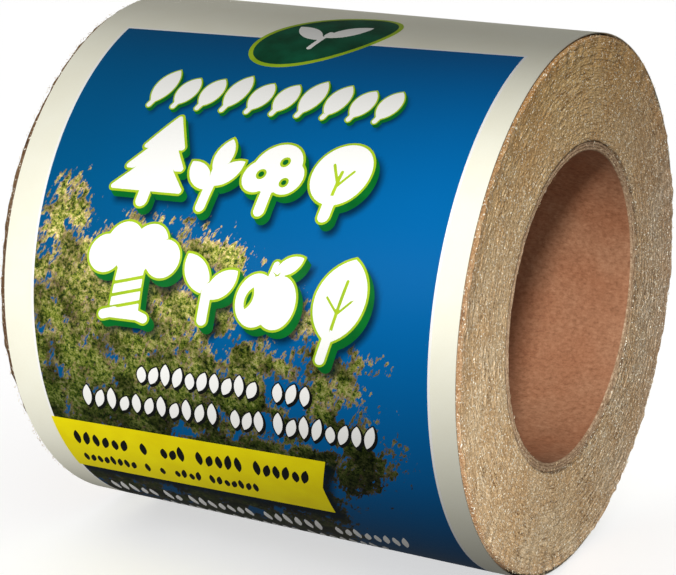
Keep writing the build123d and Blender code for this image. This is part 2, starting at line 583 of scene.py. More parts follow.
def end_rings(rng, angles):
    """(x beyond nominal, radius) of an end face's rings, outermost first: paper edges between gaps."""
    turn = (angles - TAIL_ANGLE) / 360
    drift, ripple, crinkle, openings, stray = [lattice(rng, RIDGES + 2, n) for n in (40, 420, 300, 260, 30)]
    sag = lattice(rng, 5, 9)
    count = RIDGES * RIDGE_ROWS
    start = last_turn(angles) - RIM_DROP
    rings = []
    for k in range(count + 1):
        ridge, part = divmod(k, RIDGE_ROWS)
        radius = start + (WOUND_INNER_RADIUS - start) * k / count
        level = 0.05 * soft_noise(drift, ridge, turn * 40) + 0.08 * soft_noise(ripple, ridge, turn * 420)
        level = level + 0.10 * soft_noise(sag, k / count * 4, turn * 9)
        gap = 0.13 * np.abs(soft_noise(openings, ridge, turn * 260)) if part == 0 else 0.0
        wave = 0.07 * soft_noise(crinkle, ridge, turn * 300)
        wave = wave + 0.08 * soft_noise(stray, k / RIDGE_ROWS, turn * 30)
        fade = min(min(k, count - k) / RIDGE_ROWS, 1.0)
        rings.append((level * fade - gap - 0.04, radius + wave * fade))
    return rings


def tree_wrap(paint):
    """The wound strip: creped outside, ridged at the ends, with a step where it ends."""
    rng = np.random.default_rng(11)
    angles = wrap_columns()
    turn = (angles - TAIL_ANGLE) / 360
    creases = lattice(rng, 14, 250)
    fine = lattice(rng, 30, 360)

    def uneven(size, count):
        return size * soft_noise(lattice(rng, 1, count), 0, turn * count)

    bulge = {1: 0.40 + uneven(0.12, 60) + uneven(0.16, 240), -1: 0.30 + uneven(0.22, 26) + uneven(0.17, 150)}
    face_x = np.concatenate([-CORNER_X[::-1], FACE_X, CORNER_X])
    drop = np.concatenate([CORNER_FALL[::-1], np.zeros(len(FACE_X)), CORNER_FALL])
    rows = []
    for x, lower in zip(face_x, drop):
        place = (x + 40) / 6
        crest = 0.5 + 0.5 * soft_noise(creases, place, turn * 250 + 0.3 * place)
        weave = 0.5 + 0.5 * soft_noise(fine, (x + 40) / 2.7, turn * 360)
        side = 1 if x > 0 else -1
        spread = max(0.0, (abs(x) - CORNER_START) / (STRIP_WIDTH / 2 - CORNER_START))
        radius = last_turn(angles) - 0.07 * crest - 0.04 * weave - lower
        rows.append((x + side * bulge[side] * spread, radius))
    for side in (1, -1):
        rings = end_rings(rng, angles)
        fades = [max(0.0, 1 - k / BULGE_ROWS) ** 1.5 for k in range(len(rings))]
        for (level, radius), fade in list(zip(rings, fades))[::side]:
            rows.append((side * (STRIP_WIDTH / 2 + level + bulge[side] * fade), radius))
        if side > 0:
            bore = np.full_like(angles, WOUND_INNER_RADIUS)
            rows += [(np.full_like(angles, x), bore) for x in (30.0, -30.0)]
    points = np.stack([around(x, radius, angles) for x, radius in rows])
    faces = grid_faces(len(rows), len(angles), True, True)
    made = piece("tree_wrap_wound", points, faces[:, ::-1], "roll", [paint])
    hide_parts("tree_wrap")
    return made


FIBRE_STEPS = 5  # points along a fibre
FIBRE_TAPER = np.array([1.0, 0.95, 0.85, 0.65, 0.25])


def fibre_lines(rng, count, side, inner, outer, base, long):
    """Points in mm along fibres that lie near an end face, bend and rise a little out of it."""
    radius = np.sqrt(rng.uniform(inner**2, outer**2, count))
    angle = rng.uniform(0, 360, count)
    length = long * rng.uniform(0.4, 1.0, count) ** 1.3
    start = around(side * base, radius, angle) / MM
    sine, cosine, zero = np.sin(np.radians(angle)), np.cos(np.radians(angle)), np.zeros(count)
    away = np.stack([zero, -cosine, sine], -1)
    along = np.stack([zero, sine, cosine], -1)
    heading = rng.normal(0, 1.0, count)
    heading += np.where(rng.uniform(size=count) < 0.5, math.pi, 0)
    level = np.cos(heading)[:, None] * along + np.sin(heading)[:, None] * away
    bend = np.cross(level, [1, 0, 0]) * rng.normal(0, 0.25, count)[:, None]
    rise = rng.uniform(0.15, 0.55, count)
    spots = []
    for t in np.linspace(0, 1, FIBRE_STEPS):
        spot = start + level * (length * t)[:, None] + bend * (length * t * t)[:, None]
        spot[:, 0] += side * length * rise * (t - 0.55 * t * t)
        spots.append(spot)
    line = np.stack(spots, 1)
    reach = np.hypot(line[..., 1], line[..., 2])
    line[..., 1:] *= np.clip(reach, inner - 0.1, outer + 0.1)[..., None] / reach[..., None]
    return line


def unit(vectors):
    return vectors / np.linalg.norm(vectors, axis=-1, keepdims=True)


def fibres(name, seed, count, side, inner, outer, slot, base, long, thick, paint):
    """Loose paper fibres on an end face: bent, tapering, three-sided threads."""
    rng = np.random.default_rng(seed)
    line = fibre_lines(rng, count, side, inner, outer, base, long)
    ahead = unit(np.gradient(line, axis=1))
    one = unit(np.cross(ahead, [side, 0, 0]))
    two = np.cross(ahead, one)
    width = (FIBRE_TAPER[None, :] * (thick * rng.uniform(0.7, 1.3, count))[:, None])[..., None]
    turns = [k * 2 * math.pi / 3 for k in range(3)]
    sides = [line + (one * math.cos(turn) + two * math.sin(turn)) * width for turn in turns]
    corners = FIBRE_STEPS * 3
    points = np.stack(sides, 2).reshape(count, corners, 3)
    starts = np.arange(count)[:, None, None] * corners
    walls = (starts + grid_faces(FIBRE_STEPS, 3, False, True)[None]).reshape(-1, 4)
    caps = np.array([[2, 1, 0], [corners - 3, corners - 2, corners - 1]])
    ends = (starts + caps[None]).reshape(-1, 3)
    return piece(name, points * MM, walls.tolist() + ends.tolist(), "roll", [paint])


# ---------------------------------------------------------------- the core


def core_ply(name, index, materials):
    """One ply of the core: a tube with fuzzy, slightly uneven ends. The inmost one has shallow dents."""
    rng = np.random.default_rng(31 + index)
    inner = BORE_RADIUS + index * PLY_THICKNESS
    outer = inner + PLY_THICKNESS
    angles = np.arange(0, 360, 0.75)
    turn = angles / 360
    fuzz = lattice(rng, 8, 240)
    wave = lattice(rng, 4, 14)
    dents = lattice(rng, 24, 60)
    deep = 0.035 if index == 0 else 0.0
    walls = np.linspace(-37.5, 37.5, 26)
    rows = []
    for x in walls:
        dent = deep * soft_noise(dents, (x + 38) / 3.3, turn * 60)
        rows.append((np.full_like(angles, x), inner + dent))
    # An end's three rows, from the bore outwards: how far out each is, and where in the ply's thickness
    edge = list(enumerate(zip((-0.10, 0.02, -0.10), (0.04, 0.5, 0.96))))
    for side in (1, -1):
        for k, (crown, share) in edge[::side]:
            level = 0.06 * soft_noise(fuzz, k + (3 if side > 0 else 0), turn * 240)
            level = level + 0.05 * soft_noise(wave, 1 + side, turn * 14)
            radius = inner + PLY_THICKNESS * share
            rows.append((side * (CORE_LENGTH / 2 + crown + level), np.full_like(angles, radius)))
        if side > 0:
            rows += [(np.full_like(angles, x), np.full_like(angles, outer)) for x in (37.2, -37.2)]
    points = np.stack([around(x, radius, angles) for x, radius in rows])
    faces = grid_faces(len(rows), len(angles), True, True)
    zone = np.ones(len(rows), int)
    zone[: len(walls) - 1] = 0
    made = piece(name + "_tube", points, faces, "roll", materials, np.repeat(zone, len(angles)))
    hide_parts(name)
    return made


# ---------------------------------------------------------------- the label


def band_radius(angle):
    """Radius of the band's inner face: level, then climbing to the lap on its other end."""
    climb = np.clip((angle - SEAM_ANGLE - 360 + SEAM_RAMP) / SEAM_RAMP, 0, 1)
    return LABEL_RADIUS - LABEL_THICKNESS + LAP_RISE * climb**2


def printed_label(materials):
    """The paper band, closed by a lap at the back, with its coated face out."""
    angles = np.linspace(SEAM_ANGLE, SEAM_ANGLE + 360 + SEAM_LAP, 750)
    inner = band_radius(angles)
    across = LABEL_MIDDLE + np.linspace(-LABEL_WIDTH / 2, LABEL_WIDTH / 2, 9)
    loop = [(x, LABEL_THICKNESS) for x in across] + [(x, 0.0) for x in across[::-1]]
    last = len(loop) - 1
    points = np.stack([around(x, inner + rise, angles) for x, rise in loop], 1)
    faces = grid_faces(len(angles), len(loop), False, True).tolist()
    end = (len(angles) - 1) * len(loop)
    for i in range(len(across) - 1):
        faces.append([i, i + 1, last - 1 - i, last - i])
        faces.append([end + i + 1, end + i, end + last - i, end + last - 1 - i])
    zone = np.zeros(len(loop), int)
    zone[len(across) : last] = 1
    zones = np.append(np.tile(zone, len(angles) - 1), np.zeros(2 * (len(across) - 1), int))
    name, body, slot = "printed_label_band", "label_band", "label_paper"
    made = piece(name, points, faces, body, materials, zones, smooth=False)
    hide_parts("printed_label")
    return made


def slab(name, u_values, v_values, top, paint):
    """A thin printed patch on the label, from a grid of u and v. Returns it with the grid."""
    u, v = np.meshgrid(u_values, v_values, indexing="ij")
    rows, columns = u.shape
    points = np.concatenate([on_label(u, v, height).reshape(-1, 3) for height in (top, UNDERSIDE)])
    upper = grid_faces(rows, columns)
    lower = upper[:, ::-1] + rows * columns
    index = np.arange(rows * columns).reshape(rows, columns)
    rim = np.concatenate([index[0], index[1:, -1], index[-1, -2::-1], index[-2:0:-1, 0]])
    after = np.roll(rim, -1)
    walls = np.stack([after, rim, rim + rows * columns, after + rows * columns], -1)
    faces = np.concatenate([upper, lower, walls])
    return piece(name, points, faces, "label_band", [paint], smooth=False), u, v


# Shapes on the label are distances: negative inside, in mm.


def disc(u, v, at_u, at_v, radius):
    return np.hypot(u - at_u, v - at_v) - radius


def oval(u, v, at_u, at_v, half_u, half_v):
    p, q = u - at_u, v - at_v
    near = np.hypot(p / half_u, q / half_v)
    slope = np.hypot(p / half_u**2, q / half_v**2) + 1e-9
    return near * (near - 1) / slope


def bar(u, v, u0, v0, u1, v1, width):
    """A straight stroke with round ends."""
    p, q, du, dv = u - u0, v - v0, u1 - u0, v1 - v0
    t = np.clip((p * du + q * dv) / (du * du + dv * dv), 0, 1)
    return np.hypot(p - du * t, q - dv * t) - width / 2


def leaf(u, v, u0, v0, u1, v1, width):
    """A pointed leaf from its foot to its tip."""
    length = math.hypot(u1 - u0, v1 - v0)
    half = length / 2
    reach = (half * half - width * width / 4) / width
    cu, cv = (u0 + u1) / 2, (v0 + v1) / 2
    du, dv = (u1 - u0) / length, (v1 - v0) / length
    along = (u - cu) * du + (v - cv) * dv
    across = np.abs((v - cv) * du - (u - cu) * dv)
    return np.hypot(along, across + reach) - (reach + width / 2)


def polygon(u, v, corners):
    """Exact distance to a polygon."""
    best = np.full(np.shape(u), 1e9)
    inside = np.zeros(np.shape(u), bool)
    for (u0, v0), (u1, v1) in zip(corners, corners[1:] + corners[:1]):
        best = np.minimum(best, bar(u, v, u0, v0, u1, v1, 0))
        crosses = (v0 > v) != (v1 > v)
        side = u < (u1 - u0) * (v - v0) / ((v1 - v0) if v1 != v0 else 1e-9) + u0
        inside ^= crosses & side
    return np.where(inside, -best, best)


def join(*shapes):
    return np.minimum.reduce(shapes)


def cut(shape, *holes):
    return np.maximum(shape, -join(*holes)) if holes else shape


def conifer(u, v):
    """A fir, 12 wide and 14.5 high, its foot at (0, 0)."""
    tiers = [
        polygon(u, v, [(-5.6, 2.7), (5.6, 2.7), (0, 8.4)]) - 0.4,
        polygon(u, v, [(-4.4, 6.0), (4.4, 6.0), (0, 11.4)]) - 0.4,
        polygon(u, v, [(-3.0, 9.3), (3.0, 9.3), (0, 14.1)]) - 0.4,
    ]
    return join(bar(u, v, 0, 0.9, 0, 4, 1.9), *tiers)


def sapling(u, v):
    """A young tree with three leaves, 8 wide and 11 high."""
    stem = bar(u, v, 0, 0.7, 0.3, 6.5, 1.5)
    leaves = [
        leaf(u, v, 0.1, 3.3, -4.2, 7.4, 2.9),
        leaf(u, v, 0.1, 4.0, 4.2, 8.0, 2.9),
        leaf(u, v, 0.3, 5.6, 0.5, 11.4, 2.9),
    ]
    return join(stem, *leaves)


def round_tree(u, v):
    """A fruit tree with a round crown, 10 wide and 11 high."""
    crown = join(disc(u, v, 0, 7.3, 3.8), disc(u, v, -2.3, 5.9, 2.5), disc(u, v, 2.3, 5.9, 2.5))
    fruit = [disc(u, v, -2.0, 6.2, 0.8), disc(u, v, 0.9, 8.3, 0.8), disc(u, v, 2.1, 5.2, 0.75)]
    return join(cut(crown, *fruit), bar(u, v, 0, 0.8, 0, 4, 1.7))


def oval_tree(u, v):
    """A tree with a tall crown and two limbs in it."""
    limbs = [bar(u, v, 0, 3.2, 0, 7.2, 0.5)]
    limbs += [bar(u, v, 0, 5.0, 1.7, 7.4, 0.4), bar(u, v, 0, 5.6, -1.6, 8.2, 0.4)]
    return join(cut(oval(u, v, 0, 6.9, 4.3, 4.5), *limbs), bar(u, v, 0, 0.8, 0, 2.9, 1.7))


def wrapped_tree(u, v):
    """A tree with strip wound round its trunk, 16 wide and 15 high."""
    trunk = polygon(u, v, [(-2.0, 1.0), (2.0, 1.0), (1.7, 8.0), (-1.7, 8.0)]) - 0.6
    roots = join(bar(u, v, -1.6, 1.4, -3.6, 0.8, 1.5), bar(u, v, 1.6, 1.4, 3.6, 0.8, 1.5))
    crown = [disc(u, v, a, 10.0, 2.9) for a in (-5.0, 5.0)]
    crown += [disc(u, v, a, 12.0, 3.0) for a in (-2.2, 2.2)] + [disc(u, v, 0, 9.9, 3.0)]
    gaps = [bar(u, v, -3.4, h - 0.9, 3.4, h + 0.9, 0.5) for h in (2.6, 4.5, 6.4)]
    return join(cut(trunk, *gaps), roots, *crown)


def seedling(u, v):
    """Two leaves on a short stem, 9 wide and 10 high."""
    leaves = join(leaf(u, v, 0, 4.6, -4.4, 10.2, 3.6), leaf(u, v, 0, 4.0, 4.3, 8.4, 3.4))
    return join(bar(u, v, 0, 0.8, 0, 5.6, 1.6), leaves)


def apple(u, v):
    """An apple with a leaf, 10 wide and 11 high."""
    fruit = join(oval(u, v, -1.7, 4.3, 3.1, 3.9), oval(u, v, 1.7, 4.3, 3.1, 3.9))
    shine = leaf(u, v, -3.1, 2.9, -2.3, 6.2, 1.3)
    return join(cut(fruit, shine), bar(u, v, 0, 7.4, 0.4, 9.6, 1.0), leaf(u, v, 0.4, 8.4, 4.4, 10.9, 2.3))


def long_leaf(u, v):
    """A broad leaf on its stalk, 9 wide and 15 high."""
    blade = leaf(u, v, -0.6, 3.2, 1.0, 15.4, 8.0)
    rib = bar(u, v, -0.2, 5.2, 0.7, 12.2, 0.5)
    veins = [bar(u, v, 0.1, 7.4, 2.0, 9.4, 0.35), bar(u, v, 0.1, 7.6, -1.9, 9.7, 0.35)]
    return join(cut(blade, rib, *veins), bar(u, v, -1.2, 0.6, -0.5, 4.4, 1.5))


# Each pictogram's shape, the u and v of its foot, and its size
HEADLINE = [
    (conifer, -15.0, 18.8, 1.0),
    (sapling, -5.0, 18.8, 1.0),
    (round_tree, 4.6, 18.9, 1.0),
    (oval_tree, 14.9, 18.9, 1.04),
    (wrapped_tree, -15.9, 1.7, 0.98),
    (seedling, -2.4, 2.5, 1.0),
    (apple, 7.4, 2.7, 1.0),
    (long_leaf, 18.2, -0.9, 0.98),
]
LEAN = 0.15  # of the pictograms, as italic letters lean
ROW_HEIGHTS = (6.6, 5.2, 5.4, 6.4, 5.2, 5.3, 6.4, 5.9, 5.2, 5.4)


def headline(u, v):
    """The two rows of white pictograms in the place of the title."""
    shapes = []
    for shape, at_u, at_v, size in HEADLINE:
        p, q = u - at_u - LEAN * (v - at_v), v - at_v
        shapes.append(shape(p / size, q / size) * size)
    return join(*shapes)


def small_row(u, v):
    """The row of small leaves over the title."""
    shapes = []
    for i, high in enumerate(ROW_HEIGHTS):
        foot = i * 4.12 - 19.0
        shapes.append(leaf(u, v, foot, 35.4, foot + 1.9, 35.4 + high, 3.3))
        shapes.append(bar(u, v, foot - 0.2, 35.0, foot + 0.5, 36.6, 0.8))
    return join(*shapes)


def leaf_line(words, foot, height, pitch, seed, plump=0.7):
    """A line of small leaves in the place of a line of words, each from one u to another."""
    rng = np.random.default_rng(seed)
    leaves = []
    for start, end in words:
        count = max(1, round((end - start) / pitch))
        for i in range(count):
            at = start + (i + 0.5) * (end - start) / count
            tall = height * rng.uniform(0.68, 1.0)
            tilt = pitch * (0.34 if i % 2 else 0.14)
            leaves.append((at - tilt, foot, at + tilt, foot + tall, pitch * plump))

    def distance(u, v):
        return join(*[leaf(u, v, *each) for each in leaves])

    return distance


RIBBON = [(-32.4, -17.0), (16.2, -17.1), (14.3, -22.9), (14.4, -29.3), (-32.4, -29.3)]


def ribbon(u, v):
    return polygon(u, v, RIBBON)


BADGE_U, BADGE_V, BADGE_TURN = 1.4, 53.4, 38.0


def badge(u, v):
    """An oval across the picture's top edge."""
    p, q = u - BADGE_U, v - BADGE_V
    cosine, sine = math.cos(math.radians(BADGE_TURN)), math.sin(math.radians(BADGE_TURN))
    return oval(p * cosine + q * sine, q * cosine - p * sine, 0, 0, 11.6, 7.3)


def sprout(u, v):
    """The badge's sprout."""
    leaves = join(leaf(u, v, 1.2, 52.2, -4.2, 56.2, 2.9), leaf(u, v, 1.4, 53.0, 7.2, 57.8, 2.9))
    return join(bar(u, v, 0.6, 49.6, 1.6, 54.6, 0.8), leaves)


def shifted(shape, du, dv, steps):
    """The shape swept along (du, dv)."""
    def distance(u, v):
        return join(*[shape(u - du * k / steps, v - dv * k / steps) for k in range(steps + 1)])
    return distance


def grown(shape, amount):
    def distance(u, v):
        return shape(u, v) - amount
    return distance


def outlines(values, u0, v0, step):
    """Closed loops where sampled distances cross zero, by marching squares."""
    inside = values < 0
    code = inside[:-1, :-1] * 1 + inside[1:, :-1] * 2 + inside[1:, 1:] * 4 + inside[:-1, 1:] * 8
    # For each pattern of corners inside, the cell's sides that the outline comes in and goes out by
    table = {
        1: [(3, 0)], 2: [(0, 1)], 3: [(3, 1)], 4: [(1, 2)], 5: [(3, 0), (1, 2)], 6: [(0, 2)], 7: [(3, 2)],
        8: [(2, 3)], 9: [(2, 0)], 10: [(0, 1), (2, 3)], 11: [(2, 1)], 12: [(1, 3)], 13: [(1, 0)],
        14: [(0, 3)],
    }

    def edge(i, j, side):
        """An edge of cell (i, j) as (its first corner, its direction)."""
        return ((i, j, 0), (i + 1, j, 1), (i, j + 1, 0), (i, j, 1))[side]

    def spot(key):
        i, j, way = key
        a, b = values[i, j], values[i + (way == 0), j + (way == 1)]
        t = min(max(a / (a - b), 0.02), 0.98)
        return (u0 + (i + t * (way == 0)) * step, v0 + (j + t * (way == 1)) * step)

    ahead = {}
    for i, j in zip(*np.nonzero((code > 0) & (code < 15))):
        for start, end in table[int(code[i, j])]:
            ahead[edge(int(i), int(j), start)] = edge(int(i), int(j), end)
    loops = []
    while ahead:
        first = next(iter(ahead))
        loop, key = [], first
        while key in ahead:
            loop.append(spot(key))
            key = ahead.pop(key)
        if len(loop) > 5:
            loops.append(loop)
    return loops


def thinned(loop, tolerance):
    """The loop without the points that a straight run doesn't need."""
    points = np.array(loop)
    keep = np.zeros(len(points), bool)
    far = int(np.argmax(np.hypot(*(points - points[0]).T)))
    stack = [(0, far), (far, len(points))]
    keep[[0, far]] = True
    while stack:
        a, b = stack.pop()
        if b - a < 2:
            continue
        start, end = points[a], points[b % len(points)]
        run = end - start
        length = max(math.hypot(*run), 1e-9)
        middle = points[a + 1 : b]
        off = np.abs((middle[:, 0] - start[0]) * run[1] - (middle[:, 1] - start[1]) * run[0]) / length
        worst = int(np.argmax(off))
        if off[worst] > tolerance or length > 1.2:
            split = a + 1 + worst if off[worst] > tolerance else (a + b) // 2
            keep[split] = True
            stack += [(a, split), (split, b)]
    return points[keep]


def sample(shape, window, step):
    u_low, v_low, u_high, v_high = window
    u = np.arange(u_low, u_high + step, step)
    v = np.arange(v_low, v_high + step, step)
    return shape(*np.meshgrid(u, v, indexing="ij"))


GRID_PITCH = 0.7  # between the points inside a printed shape, so that it follows the band's curve
GRID_MARGIN = 0.12  # from them to its outline


def filled(shape, window, step):
    """A shape's points and triangles, all counter-clockwise."""
    spots, edges = [], []
    for loop in outlines(sample(shape, window, step), window[0], window[1], step):
        loop = thinned(loop, 0.015)
        first = len(spots)
        spots += [Vector((float(a), float(b))) for a, b in loop]
        edges += [(first + i, first + (i + 1) % len(loop)) for i in range(len(loop))]
    lines = [np.arange(window[k], window[k + 2], GRID_PITCH) for k in (0, 1)]
    u, v = np.meshgrid(*lines, indexing="ij")
    deep = shape(u, v) < -GRID_MARGIN
    spots += [Vector((float(a), float(b))) for a, b in zip(u[deep], v[deep])]
    mesh = delaunay_2d_cdt(spots, edges, [], 0, 1e-6, False)
    flat = np.array([(p.x, p.y) for p in mesh[0]])
    triangles = np.array([t for t in mesh[2] if len(t) == 3])
    corners = flat[triangles]
    middles = [(corners[:, k] + corners[:, k - 1]) / 2 for k in range(3)]
    middle_depth, *side_depths = [shape(t[:, 0], t[:, 1]) for t in [corners.mean(1)] + middles]
    triangles = triangles[(middle_depth < 0) & (np.maximum.reduce(side_depths) < 0.03)]
    used, places = np.unique(triangles, return_inverse=True)
    flat, triangles = flat[used], places.reshape(-1, 3)
    a, b, c = (flat[triangles[:, k]] for k in range(3))
    area = (b[:, 0] - a[:, 0]) * (c[:, 1] - a[:, 1]) - (b[:, 1] - a[:, 1]) * (c[:, 0] - a[:, 0])
    return flat, np.where((area < 0)[:, None], triangles[:, ::-1], triangles)


def ink(name, shape, window, top, paint, step=0.14):
    """A thin printed layer in the given shape, closed on all sides."""
    flat, triangles = filled(shape, window, step)
    sides = {(t[k], t[(k + 1) % 3]): True for t in triangles.tolist() for k in range(3)}
    count = len(flat)
    walls = [(b, a, a + count, b + count) for a, b in sides if (b, a) not in sides]
    points = np.concatenate([on_label(flat[:, 0], flat[:, 1], height) for height in (top, UNDERSIDE)])
    faces = triangles.tolist() + (triangles[:, ::-1] + count).tolist() + walls
    return piece(name, points, faces, "label_band", [paint], smooth=False)


# The tree tops' outline, and round gaps in it (u, v, radius)
FOLIAGE = [
    (-34, 13), (-31, 15), (-29, 21), (-26, 22.5), (-24, 19), (-23.5, 13), (-20, 15), (-14, 17), (-8, 17),
    (-3, 15.5), (2, 14), (5, 10), (10, 9), (14, 7), (17, 6), (19, 1), (25, -1), (23, -7), (26, -11),
    (28.5, -14.5), (25.5, -20.5), (21, -23), (17, -27), (15, -36), (10, -52), (-34, -60),
]
SKY_GAPS = [
    (-26.5, 15, 2.0), (-29.5, 12.0, 1.6), (5, 3, 3.2), (12, 1, 3.0), (12, -7, 4.0), (-2, 8, 3.0),
    (16, -13, 3.0), (-9, 11, 2.4), (0, -1, 2.2), (-20, 12, 2.0), (18, 3, 3.0), (8, -12, 2.4), (-8, -16, 1.8),
    (21, -8, 2.2), (-13, 2, 1.6), (17, -24, 1.8), (-16, -33, 2.0), (-2, -35, 2.2), (-25, -40, 2.2),
]


def picture(paint):
    """The printed picture, with what its paint needs at each point: leaf cover, soft shade and depth."""
    across, up = np.linspace(PICTURE_LEFT, PICTURE_RIGHT, 133), np.linspace(PICTURE_FOOT, PICTURE_TOP, 231)
    made, u, v = slab("label_picture", across, up, 0.014, paint)
    cover = np.clip(-polygon(u, v, FOLIAGE) / 5.0, -1.4, 0.62)
    gaps = join(*[disc(u, v, a, b, radius) for a, b, radius in SKY_GAPS])
    words = join(headline(u - 1.5, v + 1.5), small_row(u - 1.0, v + 1.0) + 0.5)
    under_words = np.clip(0.75 - words / 1.3, 0, 0.85)
    under_ribbon = np.clip(0.8 - ribbon(u - 0.8, v + 1.2) / 1.6, 0, 0.9)
    carried = {
        "cover": np.minimum(cover, 0.2 + gaps / 3.2),
        "shade": np.maximum(under_words, under_ribbon),
        "depth": np.clip((PICTURE_TOP - v) / (PICTURE_TOP - PICTURE_FOOT), 0, 1),
    }
    for name, values in carried.items():
        attribute = made.data.attributes.new(name, "FLOAT", "POINT")
        attribute.data.foreach_set("value", np.tile(values.reshape(-1), 2).astype(np.float32))


def raised_print(name, shape, window, drop, steps, swell, edge, top, white, lime, green):
    """White marks with a lime edge and a green shadow that falls to the lower right."""
    ink(name + "_shadow", grown(shifted(shape, drop, -drop, steps), swell), window, top - 0.024, green)
    ink(name + "_edge", grown(shape, edge), window, top - 0.012, lime)
    ink(name + "_marks", shape, window, top, white)


def both(first, second):
    """The two shapes as one."""
    def distance(u, v):
        return join(first(u, v), second(u, v))
    return distance


def line_print(white, black, yellow):
    """The lines of small leaves, and the ribbon under two of them."""
    window = (-28, -16, 28, -2)
    upper = leaf_line([(-14.2, 6.8), (8.9, 15.6)], -7.8, 3.9, 2.2, 3, 0.72)
    lower = leaf_line([(-25.0, -0.6), (1.2, 7.2), (8.4, 25.4)], -13.4, 4.0, 2.15, 4, 0.72)
    subtitle = both(upper, lower)
    ink("subtitle_edge", grown(shifted(subtitle, 0.22, -0.28, 2), 0.2), window, 0.03, black)
    ink("subtitle_marks", subtitle, window, 0.042, white)
    window = (-33.2, -31, 18, -15)
    ink("ribbon", ribbon, window, 0.036, yellow)
    words = [(-29.8, -19.4), (-17.8, -15.6), (-13.8, -9.0), (-7.4, 1.2), (2.8, 12.6)]
    upper = leaf_line(words, -22.7, 3.6, 1.75, 5)
    words = [(-30.0, -19.8), (-18.6, -17.0), (-15.8, -14.4), (-13.0, -7.8), (-6.6, 2.4)]
    lower = leaf_line(words, -27.3, 2.7, 1.35, 6)
    ink("ribbon_marks", both(upper, lower), window, 0.046, black, 0.1)
    words = [(-30.0, -21.0), (-19.6, -16.4), (-15.0, -3.0), (-1.4, 9.6), (11.2, 24.4)]
    upper = leaf_line(words, -38.6, 5.0, 1.75, 7, 0.62)
    lower = leaf_line([(-24.0, -12.0), (-10.6, 2.0), (3.4, 18.0)], -45.2, 4.6, 1.75, 8, 0.62)
    ink("foot_marks", both(upper, lower), (-32, -47, 28, -32), 0.03, white, 0.12)


def label_print():
    """Everything printed on the band, from the paper up."""
    white = ink_material("ink_white", srgb(250, 249, 244))
    lime = ink_material("ink_lime", srgb(178, 206, 40), srgb(150, 184, 30))
    green = ink_material("ink_green", srgb(6, 112, 40), srgb(4, 92, 34))
    deep = ink_material("ink_deep_green", srgb(10, 92, 62), srgb(4, 62, 36))
    black = ink_material("ink_black", srgb(16, 18, 16))
    yellow = ink_material("ink_yellow", srgb(254, 238, 4), srgb(244, 224, 2))
    across = np.linspace(PICTURE_LEFT - LINE, PICTURE_RIGHT + LINE, 67)
    slab("label_line", across, np.linspace(PICTURE_FOOT - LINE, PICTURE_TOP + LINE, 118), 0.007, white)
    picture(picture_material())
    inks = (white, lime, green)
    raised_print("title", headline, (-27, -4, 29, 35), 0.9, 3, 0.3, 0.36, 0.048, *inks)
    raised_print("row", small_row, (-23, 33.5, 25, 44), 0.5, 2, 0.2, 0.22, 0.05, *inks)
    line_print(white, black, yellow)
    window = (-12, 42, 15, 65)
    ink("badge_edge", badge, window, 0.03, lime)
    ink("badge", grown(badge, -0.7), window, 0.04, deep)
    ink("badge_mark", sprout, window, 0.05, white)


# ---------------------------------------------------------------- the studio

CAMERA_AZIMUTH = 28.857
CAMERA_ELEVATION = 16.517
CAMERA_DISTANCE = 338.066
CAMERA_SIDE = -2.364
CAMERA_RISE = -2.198
CAMERA_ANGLE = 18.03


def camera():
    """The camera, where the photograph was taken from."""
    az, el = math.radians(CAMERA_AZIMUTH), math.radians(CAMERA_ELEVATION)
    ahead = Vector((-math.sin(az) * math.cos(el), math.cos(az) * math.cos(el), -math.sin(el)))
    right = Vector((math.cos(az), math.sin(az), 0))
    up = right.cross(ahead)
    data = bpy.data.cameras.new("camera")
    data.angle = math.radians(CAMERA_ANGLE)
    data.clip_start = 0.01
    made = bpy.data.objects.new("camera", data)
    made.location = (-ahead * CAMERA_DISTANCE + right * CAMERA_SIDE + up * CAMERA_RISE) * MM
    made.rotation_euler = ahead.to_track_quat("-Z", "Y").to_euler()
    bpy.context.scene.collection.objects.link(made)
    bpy.context.scene.camera = made


def lamp(name, kind, direction, energy, distance=1.0, target=(0, 0, 0), **settings):
    """A lamp that shines on target from the given direction."""
    data = bpy.data.lights.new(name, kind)
    data.energy = energy
    for key, value in settings.items():
        setattr(data, key, value)
    made = bpy.data.objects.new(name, data)
    away = Vector(direction).normalized()
    made.location = Vector(target) + away * distance
    made.rotation_euler = (-away).to_track_quat("-Z", "Y").to_euler()
    bpy.context.scene.collection.objects.link(made)
    return made


def group_of(name, objects):
    group = bpy.data.collections.new(name)
    for obj in objects:
        group.objects.link(obj)
    return group


def lit_only(light, objects):
    """Makes a lamp light nothing but these objects."""
    light.light_linking.receiver_collection = group_of(light.name + "_lit", objects)


def hidden_lamp(name, direction, energy, distance, lit, target=(0, 0, 0), **settings):
    """A small lamp close to the roll that can't be seen or mirrored, and lights only some objects."""
    made = lamp(name, "AREA", direction, energy, distance, target, **settings)
    made.visible_camera = False
    made.visible_glossy = False
    lit_only(made, lit)
    return made


def world_light(strength, seen):
    """A plain pale world: strength lights the object, seen is what shows past the floor."""
    world = bpy.data.worlds.new("studio")
    world.use_nodes = True
    tree = world.node_tree
    path = node(tree, "ShaderNodeLightPath")
    level = span(tree, path.outputs["Is Camera Ray"], 0.0, 1.0, strength, seen)
    tree.nodes["Background"].inputs["Color"].default_value = (1, 1, 1, 1)
    tree.links.new(level, tree.nodes["Background"].inputs["Strength"])
    bpy.context.scene.world = world


